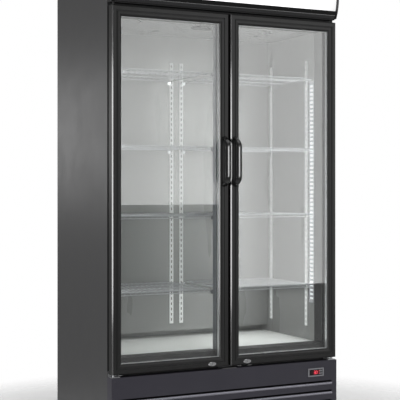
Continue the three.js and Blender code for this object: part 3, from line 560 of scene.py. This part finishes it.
def make_door_frame(label):
    """Four mitred lengths of one extrusion. The uprights' edges that face left are polished."""
    low, high = DOOR[label]
    lip, slab, seam, gap = 0.009, DOOR_BACK - DOOR_FRONT, 0.00012, 0.0003
    pocket = 1 - GLASS_CAPTURE / STILE
    pocket_front, pocket_back = lip - gap, GLASS[label][1].y - low.y + gap
    profile = [
        (0.0, slab), (0.0, EDGE_CHAMFER), (EDGE_CHAMFER / STILE, 0.0),
        (0.44, 0.0), (0.455, 0.0006), (0.465, 0.0026), (0.50, 0.0026), (0.515, 0.0010), (0.54, 0.0006),
        (0.80, 0.0022), (0.90, 0.0040), (0.97, 0.0068), (1.0, 0.0078), (1.0, pocket_front),
        (pocket, pocket_front), (pocket, pocket_back), (1.0, pocket_back), (1.0, slab - 0.001), (0.98, slab),
    ]
    polished = {"left_stile": (1,), "right_stile": (10, 11)}
    loops = frame_loops(profile, low, high, STILE, BOTTOM_RAIL, TOP_RAIL)
    for index, name in enumerate(("bottom_rail", "right_stile", "top_rail", "left_stile")):
        start, end = loops[index], loops[(index + 1) % 4]
        inset = (Vector(end[0]) - Vector(start[0])).normalized() * seam
        first = [Vector(point) + inset for point in start]
        last = [Vector(point) - inset for point in end]
        bar = Shape().loft([first, last])
        for wall in polished.get(name, ()):
            bar.tags[wall] = 1
        bar.make(f"{label}_door_{name}", f"{label}_door", [MAT["door_paint"], MAT["door_edge"]],
                 "door_extrusion", smooth=True, replaces=(f"{label}_door_frame",) if index == 0 else ())


def make_glass(label):
    """Two panes with a spacer bar between them."""
    low, high = GLASS[label]
    body = f"{label}_door"
    panes = (("outer", low.y, (f"{label}_glass_unit",)), ("inner", high.y - PANE, ()))
    for name, y, replaced in panes:
        pane = Shape().box((low.x, y, low.z), (high.x, y + PANE, high.z))
        pane.make(f"{label}_pane_{name}", body, MAT["glass"], "clear_glass", 0.0006, replaces=replaced)
    inset, width, gap = GLASS_CAPTURE - 0.0085, 0.0088, 0.0001
    front, back = low.y + PANE + gap, high.y - PANE - gap
    left, right = low.x + inset, high.x - inset
    bottom, top = low.z + inset, high.z - inset
    spacer = Shape()
    spacer.box((left, front, bottom), (left + width, back, top))
    spacer.box((right - width, front, bottom), (right, back, top))
    spacer.box((left + width, front, bottom), (right - width, back, bottom + width))
    spacer.box((left + width, front, top - width), (right - width, back, top))
    spacer.make(f"{label}_glass_spacer", body, MAT["spacer"], "coil_aluminium", 0.0006)


def make_gasket(label):
    """A bellows seal with a flat magnet face."""
    low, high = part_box(f"{label}_door_gasket")
    width, depth = 0.014, high.y - low.y
    folds = [(0.0, 0.0), (0.12, 0.25), (0.0, 0.5), (0.1, 0.75), (0.0, 1.0), (1.0, 1.0), (0.9, 0.75),
             (1.0, 0.5), (0.88, 0.25), (1.0, 0.0)]
    profile = [(share, deep * depth) for share, deep in folds]
    ring = Shape().loft(frame_loops(profile, low, high, width, width, width), closed=True)
    ring.make(f"{label}_door_seal", f"{label}_door", MAT["rubber"], "gasket_rubber", smooth=True,
              replaces=(f"{label}_door_gasket",))


def make_lock_plate(label, side):
    """A pointed oval plate round the lock barrel."""
    low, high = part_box(f"{label}_door_lock")
    barrel_radius, hole_radius, steps = 0.008, 0.0087, 40
    long_half, short_half, thick = 0.0195, 0.0098, 0.0022
    centre_x = low.x + barrel_radius if side > 0 else high.x - barrel_radius
    centre_z = (low.z + high.z) / 2
    turns = [(math.cos(2 * math.pi * i / steps), math.sin(2 * math.pi * i / steps)) for i in range(steps)]
    oval = [(long_half * c, short_half * s * (1 - 0.25 * c * c)) for c, s in turns]
    hole = [(hole_radius * c, hole_radius * s) for c, s in turns]
    loops = []
    for outline, scale, proud in ((oval, 1, 0), (oval, 1, thick / 2), (oval, 0.93, thick), (hole, 1, thick),
                                  (hole, 1, 0)):
        loops.append([(centre_x + x * scale, DOOR_FRONT - proud, centre_z + z * scale) for x, z in outline])
    plate = Shape().loft(loops, closed=True)
    plate.make(f"{label}_lock_plate", f"{label}_door", MAT["chrome"], "chrome_plate", smooth=True)


def rounded_path(corners, radius, steps=8):
    """A polyline in (y, z) with its inner corners rounded."""
    path = [corners[0]]
    for before, corner, after in zip(corners, corners[1:], corners[2:]):
        corner = Vector(corner)
        into = (Vector(before) - corner).normalized() * radius
        out = (Vector(after) - corner).normalized() * radius
        for i in range(steps + 1):
            t = i / steps
            point = corner + into * (1 - t) ** 2 + out * t**2
            path.append(tuple(point))
    path.append(corners[-1])
    return path


def grip_section(width, thick):
    """Outline (across, outward) of the grip: flat inner side, crowned outer side, broad soft chamfers."""
    half, top, crown = width / 2, thick / 2, 0.0008
    chamfer_in, chamfer_out = 0.0062, 0.0054
    right = [(half, top - chamfer_out - 0.0010), (half - 0.0004, top - chamfer_out),
             (half - chamfer_in, top - crown - 0.0004), (half - chamfer_in - 0.0012, top - crown)]
    middle = [(share * 0.006, top - crown * share * share) for share in (0.6, 0.0, -0.6)]
    left = [(-across, out) for across, out in reversed(right)]
    inner = 0.0018
    back = [(-half, -top + inner), (-half + inner, -top), (half - inner, -top), (half, -top + inner)]
    return right + middle + left + back


def make_handle(label):
    """A smooth bow grip with round ends and a crowned face."""
    low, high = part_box(f"{label}_door_handle")
    centre = (low.x + high.x) / 2
    thick, slope, foot_half, screw_inset = 0.010, 0.030, 0.007, 0.020
    out, foot = low.y + thick / 2, DOOR_FRONT - 0.0001
    corners = [(foot, low.z + foot_half), (out, low.z + slope),
               (out, high.z - slope), (foot, high.z - foot_half)]
    path = rounded_path(corners, 0.024)
    section = grip_section(high.x - low.x, thick)
    loops = []
    for i, (y, z) in enumerate(path):
        before, after = path[max(i - 1, 0)], path[min(i + 1, len(path) - 1)]
        along = Vector((after[0] - before[0], after[1] - before[1])).normalized()
        outward = Vector((-along.y, along.x))
        if i in (0, len(path) - 1):
            outward = Vector((0, math.copysign(1, outward.y))) / max(abs(along.x), 0.3)
        loops.append([(centre + across, y + outward.x * off, z + outward.y * off) for across, off in section])
    Shape().loft(loops).make(f"{label}_grip", f"{label}_door", MAT["handle"], "black_plastic", smooth=True,
                             replaces=(f"{label}_door_handle",))
    screws = Shape()
    for z in (low.z + screw_inset, high.z - screw_inset):
        screws.lathe(GRIP_SCREW, (centre, DOOR_FRONT, z), "y", 16)
    screws.make(f"{label}_grip_screws", f"{label}_door", MAT["zinc"], "zinc_steel", smooth=True)


# ---------------------------------------------------------------- shelves


def make_shelf(label, level):
    """A wire shelf: rim, cross rods, closely set wires and a front lip of two rods."""
    name = f"shelf_{label}_{level}"
    low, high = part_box(name)
    rim, lip_rod, wire, lip, pitch = 0.003, 0.0022, 0.0016, 0.018, 0.0245
    x0, x1 = low.x + rim, high.x - rim
    y0, y1 = low.y + 0.004, high.y - rim
    z = high.z - 0.0035 - wire
    shelf = Shape()
    for a, b in (((x0, y0), (x1, y0)), ((x0, y1), (x1, y1)), ((x0, y0), (x0, y1)), ((x1, y0), (x1, y1))):
        shelf.rod((*a, z), (*b, z), rim, 12)
    for lip_z in (high.z - lip + 0.0025, high.z - 0.003):
        shelf.rod((x0, low.y + 0.002, lip_z), (x1, low.y + 0.002, lip_z), lip_rod)
    top = high.z - wire - 0.0002
    count = int((x1 - x0) / pitch)
    for x in spread(x0, x1, count + 1)[1:-1]:
        shelf.rod((x, y0 - 0.001, top), (x, y1 + 0.001, top), wire, 8)
        shelf.rod((x, low.y + 0.0035, top), (x, low.y + 0.0035, high.z - lip + 0.002), wire * 0.9, 6)
    for share in (0.33, 0.67):
        y = y0 + (y1 - y0) * share
        shelf.rod((x0, y, z), (x1, y, z), rim * 0.8)
    shelf.make(f"wire_{name}", name, MAT["shelf"], "shelf_coat", smooth=True, replaces=(name,))


# ---------------------------------------------------------------- canopy


def canopy_curve(low, high, set_back, steps):
    """Points (y, z) along the bulge that the end caps have, moved back by a distance."""
    cap_low, cap_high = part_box("canopy_end_cap_left")
    middle, half = (cap_low.z + cap_high.z) / 2, (cap_high.z - cap_low.z) / 2
    bulge = DOOR_FRONT - cap_low.y
    return [(DOOR_FRONT - bulge * (1 - ((z - middle) / half) ** 2) + set_back, z)
            for z in spread(low, high, steps + 1)]


def add_band(shape, heights, depths, ends, steps):
    """A sheet that follows the canopy's bulge, between two heights, two set-backs and two ends."""
    front, back = (canopy_curve(*heights, depth, steps) for depth in depths)
    shape.prism(front + back[::-1], "x", *ends)


def make_canopy():
    """Opal lens, end caps, gloss trims above and below the lens, and the rolled lower lip."""
    housing_low, housing_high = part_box("canopy_housing")
    lens_low, lens_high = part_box("canopy_diffuser")
    lens = Shape()
    add_band(lens, (lens_low.z, lens_high.z), (0.0005, 0.0035), (lens_low.x, lens_high.x), 36)
    lens.make("canopy_lens", "cabinet", MAT["opal"], "opal_acrylic", smooth=True,
              replaces=("canopy_diffuser",))

    for label, _ in SIDES:
        low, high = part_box(f"canopy_end_cap_{label}")
        outline = [(high.y, high.z), (high.y, low.z)] + canopy_curve(low.z, high.z, 0.0, 48)
        cap = Shape().prism(outline, "x", low.x, high.x)
        cap.make(f"canopy_cap_{label}", "cabinet", MAT["gloss_black"], "black_plastic", 0.0016, segments=3,
                 replaces=(f"canopy_end_cap_{label}",))

    ends, lap = (housing_low.x, housing_high.x), 0.0012
    trims = Shape()
    for heights in ((housing_low.z + 0.017, lens_low.z + lap), (lens_high.z - lap, housing_high.z)):
        add_band(trims, heights, (-0.0022, -0.0002), ends, 8)
    trims.make("canopy_gloss_trim", "cabinet", MAT["gloss_black"], "black_plastic", smooth=True)
    lip_z = housing_low.z + 0.0145
    lip_y = canopy_curve(lip_z, lip_z, 0.0, 1)[0][0]
    lip = Shape().rod((ends[0], lip_y, lip_z), (ends[1], lip_y, lip_z), 0.0019, 12)
    lip.make("canopy_lip", "cabinet", MAT["door_edge"], "coil_aluminium", smooth=True)
    dress("canopy_light", "lamp", 0.001)


# ---------------------------------------------------------------- base


def louvre_tops():
    """Upper edges of the slots, as the CAD grille has them."""
    band, pitch = 0.0915, 0.044
    count = math.ceil((BASE_HIGH.z - band - pitch - BASE_LOW.z) / pitch)
    return [BASE_HIGH.z - band - pitch * i for i in range(count)]


def make_grille():
    """The base's front with its folded sides, and slots with a rolled bead under each."""
    front, back, low, high = DOOR_FRONT, BASE_HIGH.y, BASE_LOW.z, BASE_HIGH.z
    slot, bead, margin, bead_depth = 0.008, 0.012, 0.027, 0.0053
    inner = HALF_WIDTH - margin
    tops = louvre_tops()
    controller_low, controller_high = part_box("temperature_controller")
    rim = 0.004
    hole_x = (controller_low.x + rim, controller_high.x - rim)
    hole_z = (controller_low.z + rim, controller_high.z - rim)
    panel = Shape()
    for x0, x1, z0, z1 in ((-HALF_WIDTH, hole_x[0], tops[0], high), (hole_x[1], HALF_WIDTH, tops[0], high),
                           (*hole_x, hole_z[1], high), (*hole_x, tops[0], hole_z[0])):
        panel.box((x0, front, z0), (x1, front + SHEET, z1))
    for _, side in SIDES:
        x = span(inner, HALF_WIDTH, side)
        panel.box((x[0], front, low), (x[1], front + SHEET, tops[0]))
        x = span(HALF_WIDTH - SHEET, HALF_WIDTH, side)
        panel.box((x[0], front + SHEET, low), (x[1], back, high))
    panel.box((-HALF_WIDTH + SHEET, front + SHEET, high - SHEET), (HALF_WIDTH - SHEET, back, high))
    for top, next_top in zip(tops, tops[1:] + [low]):
        panel.box((-inner, front, next_top), (inner, front + SHEET, top - slot - bead))
        # A dark sheet behind each slot, as painted shadow in the grille's openings.
        panel.box((-inner, front + 0.012, top - slot - 0.006), (inner, front + 0.0126, top + 0.004), 1)
    panel.make("louvred_panel", "cabinet", [MAT["base_paint"], MAT["painted_slot_shadow"]], "charcoal_coat",
               replaces=("front_grille",))

    beads = Shape()
    turns = [math.pi / 2 + math.pi * i / 12 for i in range(13)]
    for top in tops:
        centre = top - slot - bead / 2
        outline = [(front + 0.0008 + bead_depth * math.cos(turn), centre + bead / 2 * math.sin(turn))
                   for turn in turns]
        outline += [(front + SHEET, centre - bead / 2), (front + SHEET, centre + bead / 2)]
        beads.prism(outline, "x", -inner - 0.001, inner + 0.001)
    # The beads wear the lighter copy of the charcoal coat, for a painted highlight along them.
    beads.make("louvre_beads", "cabinet", MAT["louvre_painted_highlight"], "charcoal_coat", smooth=True)

    screws = Shape()
    for _, side in SIDES:
        for z in (high - 0.018, low + 0.02):
            screws.lathe(GRILLE_SCREW, (side * (HALF_WIDTH - margin / 2), front, z), "y", 20)
    screws.make("grille_screws", "cabinet", MAT["base_paint"], "zinc_steel", smooth=True)


DIGITS = "30"
SEGMENTS = {"3": "abgcd", "0": "abcdef"}


def digit_bars(x, z, width, height, pen):
    """Corner boxes (x0, z0, x1, z1) of the seven segments."""
    half = height / 2
    return {
        "a": (x + pen, z + height - pen, x + width - pen, z + height),
        "b": (x + width - pen, z + half, x + width, z + height - pen),
        "c": (x + width - pen, z + pen, x + width, z + half),
        "d": (x + pen, z, x + width - pen, z + pen),
        "e": (x, z + pen, x + pen, z + half),
        "f": (x, z + half, x + pen, z + height - pen),
        "g": (x + pen, z + half - pen / 2, x + width - pen, z + half + pen / 2),
    }


def make_controller():
    """A bezel round a dark window with a blank digit, two lit ones, a point, three lamps and four keys."""
    low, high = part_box("temperature_controller")
    rim, window_depth, behind, proud = 0.006, 0.003, 0.0002, 0.0004
    front, face, bezel_back = low.y + 0.001, low.y + window_depth, DOOR_FRONT - 0.0003
    middle = (low.z + high.z) / 2
    body = Shape()
    body.box((low.x, front, low.z), (low.x + rim, bezel_back, high.z))
    body.box((high.x - rim, front, low.z), (high.x, bezel_back, high.z))
    body.box((low.x + rim, front, low.z), (high.x - rim, bezel_back, low.z + rim))
    body.box((low.x + rim, front, high.z - rim), (high.x - rim, bezel_back, high.z))
    body.box((low.x + rim, face, low.z + rim), (high.x - rim, high.y, high.z - rim), 1)
    body.make("controller_bezel", "cabinet", [MAT["bezel"], MAT["window"]], "black_plastic", 0.0008,
              replaces=("temperature_controller",))

    lit, dim = Shape(), Shape()
    width, height, pen, step = 0.0085, 0.0150, 0.0015, 0.0115
    start_x, start_z = low.x + rim + 0.012, middle - height / 2
    for index, digit in enumerate(DIGITS, start=1):
        bars = digit_bars(start_x + index * step, start_z, width, height, pen)
        for key, (x0, z0, x1, z1) in bars.items():
            shape = lit if key in SEGMENTS[digit] else dim
            shape.box((x0, face - proud, z0), (x1, face + behind, z1))
    for x0, z0, x1, z1 in digit_bars(start_x, start_z, width, height, pen).values():
        dim.box((x0, face - 0.0003, z0), (x1, face + behind, z1))
    point, point_size = start_x + 2 * step - 0.0024, 0.0018
    lit.box((point, face - proud, start_z), (point + point_size, face + behind, start_z + point_size))
    lamp = [(0, -0.0006), (0.0012, -proud), (0.0014, behind), (0, behind)]
    for index in range(3):
        lit.lathe(lamp, (start_x + 3 * step + 0.0065, face, start_z + 0.001 + index * 0.0065), "y", 12)
    lit.make("controller_digits", "cabinet", MAT["digit"], "black_plastic")
    dim.make("controller_digits_off", "cabinet", MAT["digit_off"], "black_plastic")

    keys = Shape()
    for x in (high.x - rim - 0.0165, high.x - rim - 0.0080):
        for z in (middle - 0.0095, middle + 0.0020):
            keys.box((x, face - 0.0008, z), (x + 0.0065, face + behind, z + 0.0075))
    keys.make("controller_keys", "cabinet", MAT["bezel"], "black_plastic", 0.0007)


def make_feet():
    """A rubber pad and a threaded stem with a nut for each foot."""
    pitch, crest, root = 0.0015, 0.0060, 0.0052
    for place in ("front_left", "front_right", "rear_left", "rear_right"):
        name = f"foot_{place}"
        low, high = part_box(name)
        base = ((low.x + high.x) / 2, (low.y + high.y) / 2, low.z)
        radius, top = (high.x - low.x) / 2, high.z - low.z
        rounded = radius - 0.002
        pad = Shape().lathe([(0, 0), (rounded, 0), (radius, 0.002), (radius, 0.007), (rounded, 0.009),
                             (0, 0.009)], base, "z", 36)
        pad.make(f"{name}_pad", name, MAT["rubber"], "gasket_rubber", smooth=True)
        profile = [(0, 0.009), (0.017, 0.009), (0.012, 0.0145), (0.012, 0.024), (crest, 0.0245)]
        z = 0.0255
        while z < top - pitch:
            profile += [(crest, z), (root, z + pitch / 2)]
            z += pitch
        profile += [(root, top - 0.0005), (0, top)]
        stem = Shape().lathe(profile, base, "z", 24)
        stem.make(f"{name}_stem", name, MAT["zinc"], "zinc_steel", smooth=True, replaces=(name,))


def make_coil(name, fin_low, fin_high, rows, plates):
    """A fin stack between two corners with rows of pipe through it, and end plates given by their corners."""
    pitch, thick, pipe, pipe_inset = 0.006, 0.0004, 0.0045, 0.015
    (x0, y0, z0), (x1, y1, z1) = fin_low, fin_high
    fins = Shape()
    for x in spread(x0, x1, int((x1 - x0) / pitch) + 1):
        fins.box((x, y0, z0), (x + thick, y1, z1))
    fins.make(f"{name}_fins", "cabinet", MAT["aluminium"], "coil_aluminium", replaces=(name,))
    pipes = Shape()
    for row in range(rows):
        z = z0 + (z1 - z0) * (row + 0.5) / rows
        for y in (y0 + pipe_inset, y1 - pipe_inset):
            pipes.rod((x0 - 0.002, y, z), (x1 + 0.006, y, z), pipe)
        pipes.rod((x1 + 0.004, y0 + 0.012, z), (x1 + 0.004, y1 - 0.012, z), pipe)
    pipes.make(f"{name}_pipes", "cabinet", MAT["copper"], "coil_aluminium", smooth=True)
    ends = Shape()
    for low, high in plates:
        ends.box(low, high)
    ends.make(f"{name}_end_plates", "cabinet", MAT["zinc"], "zinc_steel")


def make_coils():
    plate, gap = 0.001, 0.0005
    low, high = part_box("condenser_coil")
    left, right = low.x + 0.004, high.x - 0.008
    plates = [((x, low.y, low.z), (x + plate, high.y, high.z)) for x in (left - 0.0015, right + gap)]
    make_coil("condenser_coil", (left, low.y, low.z + 0.0097), (right, high.y, high.z), 5, plates)
    low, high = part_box("evaporator_coil")
    left, right, inset = low.x + 0.010, high.x - 0.010, 0.008
    plates = [((x, low.y, low.z), (x + plate, high.y, high.z)) for x in (low.x, right + gap)]
    make_coil("evaporator_coil", (left, low.y + inset, low.z + 0.006),
              (right, high.y - inset, low.z + 0.126), 3, plates)


def make_back_details():
    """Screws down both edges of the back, and round the rear grille."""
    low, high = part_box("back_panel")
    screws = Shape()
    for x in (low.x + 0.015, high.x - 0.015):
        for z in spread(low.z + 0.03, high.z - 0.03, 7):
            screws.lathe(PANEL_SCREW, (x, high.y, z), "y", 18)
    low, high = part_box("rear_grille")
    for x in (low.x + 0.02, 0, high.x - 0.02):
        for z in (low.z + 0.015, high.z - 0.015):
            screws.lathe(PANEL_SCREW, (x, high.y, z), "y", 18)
    screws.make("rear_screws", "cabinet", MAT["zinc"], "zinc_steel", smooth=True)


# ---------------------------------------------------------------- stage, light and camera


def add_area(name, place, target, size, power):
    """A softbox (width, height) in metres that faces its target and that the camera doesn't see."""
    data = bpy.data.lights.new(name, "AREA")
    data.shape = "RECTANGLE"
    data.size, data.size_y = size
    data.energy = power
    lamp = bpy.data.objects.new(name, data)
    bpy.context.scene.collection.objects.link(lamp)
    lamp.location = place
    direction = Vector(target) - Vector(place)
    lamp.rotation_euler = direction.to_track_quat("-Z", "Y").to_euler()
    lamp.visible_camera = False
    return lamp


def make_stage():
    """A pale floor that fades out into a world that looks white and lights the object softly."""
    radius, fade_start, fade_end = 3.0, 0.65, 1.7
    look = Look("studio_floor", (0.93, 0.93, 0.93), 0.6).mottle(0.5, 0.01).glow((1, 1, 1), 0.1)
    distance = look.node("ShaderNodeVectorMath", operation="LENGTH")
    look.link(look.place(), distance.inputs[0])
    alpha = look.fade(distance.outputs["Value"], fade_start, fade_end, 1.0, 0.0)
    look.link(alpha, look.shader.inputs["Alpha"])
    floor = Shape().lathe([(0, -0.01), (radius, -0.01), (radius, 0), (0, 0)], (0, 0, 0), "z", 96)
    floor.link("studio_floor", [look.material])

    world = bpy.data.worlds.new("studio")
    bpy.context.scene.world = world
    world.use_nodes = True
    tree = world.node_tree
    background = tree.nodes["Background"]
    background.inputs["Color"].default_value = (1, 1, 1, 1)
    path = tree.nodes.new("ShaderNodeLightPath")
    level = tree.nodes.new("ShaderNodeMapRange")
    level.inputs["To Min"].default_value = 0.26
    level.inputs["To Max"].default_value = 1.0
    tree.links.new(path.outputs["Is Camera Ray"], level.inputs["Value"])
    tree.links.new(level.outputs["Result"], background.inputs["Strength"])


def add_panel(name, low, high, power):
    """An upright softbox that faces +Y, from one lower corner (x, y, z) to the upper one."""
    centre = [(a + b) / 2 for a, b in zip(low, high)]
    ahead = (centre[0], centre[1] + 1, centre[2])
    return add_area(name, centre, ahead, (high[0] - low[0], high[2] - low[2]), power)


def make_inner_lights():
    """The light of the strips, and of the goods' missing bounce over the floor of each bay."""
    for label, side, strip_power, floor_power in (("left", -1, 1.6, 0.3), ("right", 1, 3.2, 0.9)):
        low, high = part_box(f"light_strip_{label}")
        inner = low.x if side > 0 else high.x
        place = Vector((inner - side * 0.001, (low.y + high.y) / 2, (low.z + high.z) / 2))
        target = (0, place.y + 0.12, place.z)
        strip = add_area(f"strip_light_{label}", place, target, (0.010, high.z - low.z), strip_power)
        shelf_low, shelf_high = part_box(f"shelf_{label}_1")
        place = (shelf_low + shelf_high) / 2
        place.z = shelf_low.z - 0.02
        floor = add_area(f"floor_light_{label}", place, (place.x, place.y, 0), (0.40, 0.36), floor_power)
        strip.visible_transmission = floor.visible_transmission = False


def make_lights():
    """Softboxes. The two front panels are what the doors' glass reflects at the camera's angle."""
    add_area("side_softbox", (-2.6, 5.0, 1.62), (-0.56, 0.0, 1.4), (2.2, 1.1), 10)
    add_panel("front_panel_near", (0.9, -4.6, 0.98), (2.36, -4.6, 3.8), 23)
    add_panel("front_panel_far", (2.42, -4.6, 0.24), (4.8, -4.6, 3.8), 58)
    add_area("left_softbox", (-3.9, -1.7, 1.12), (0, -0.3, 1.12), (3.4, 1.9), 84)
    add_area("top_softbox", (1.2, -1.0, 4.6), (0.2, 0, 1.0), (3.0, 3.0), 40)
    add_area("rear_softbox", (2.6, 4.8, 2.4), (0, 0, 1.0), (2.4, 2.4), 60)
    make_inner_lights()


def make_grip_light():
    """A tall lamp that only the grips catch, for the bright line along their rounded side."""
    lamp = add_area("grip_light", (1.35, -4.4, 1.1), (0, DOOR_FRONT, 1.1), (1.3, 2.6), 150)
    lit = bpy.data.collections.new("grips")
    for label, _ in SIDES:
        lit.objects.link(bpy.data.objects[f"{label}_grip"])
    lamp.light_linking.receiver_collection = lit


def make_camera():
    data = bpy.data.cameras.new("camera")
    camera = bpy.data.objects.new("camera", data)
    bpy.context.scene.collection.objects.link(camera)
    camera.location = (-2.290, FACE_FRONT - 4.258, 1.119)
    camera.rotation_euler = (math.radians(90), 0, math.radians(-26.97))
    data.lens, data.sensor_width = 98.2, 36
    data.shift_y = -0.0285
    data.clip_end = 100
    bpy.context.scene.camera = camera


make_camera()
make_stage()
make_lights()
dress_cabinet()
make_liner()
make_clips()
make_light_strips()
make_breakers()
for door_label, door_side in SIDES:
    make_door_frame(door_label)
    make_glass(door_label)
    make_gasket(door_label)
    make_lock_plate(door_label, door_side)
    make_handle(door_label)
    for shelf_level in SHELF_LEVELS:
        make_shelf(door_label, shelf_level)
make_canopy()
make_grille()
make_controller()
make_feet()
make_coils()
make_back_details()
make_grip_light()

bpy.context.scene.view_settings.view_transform = "Standard"
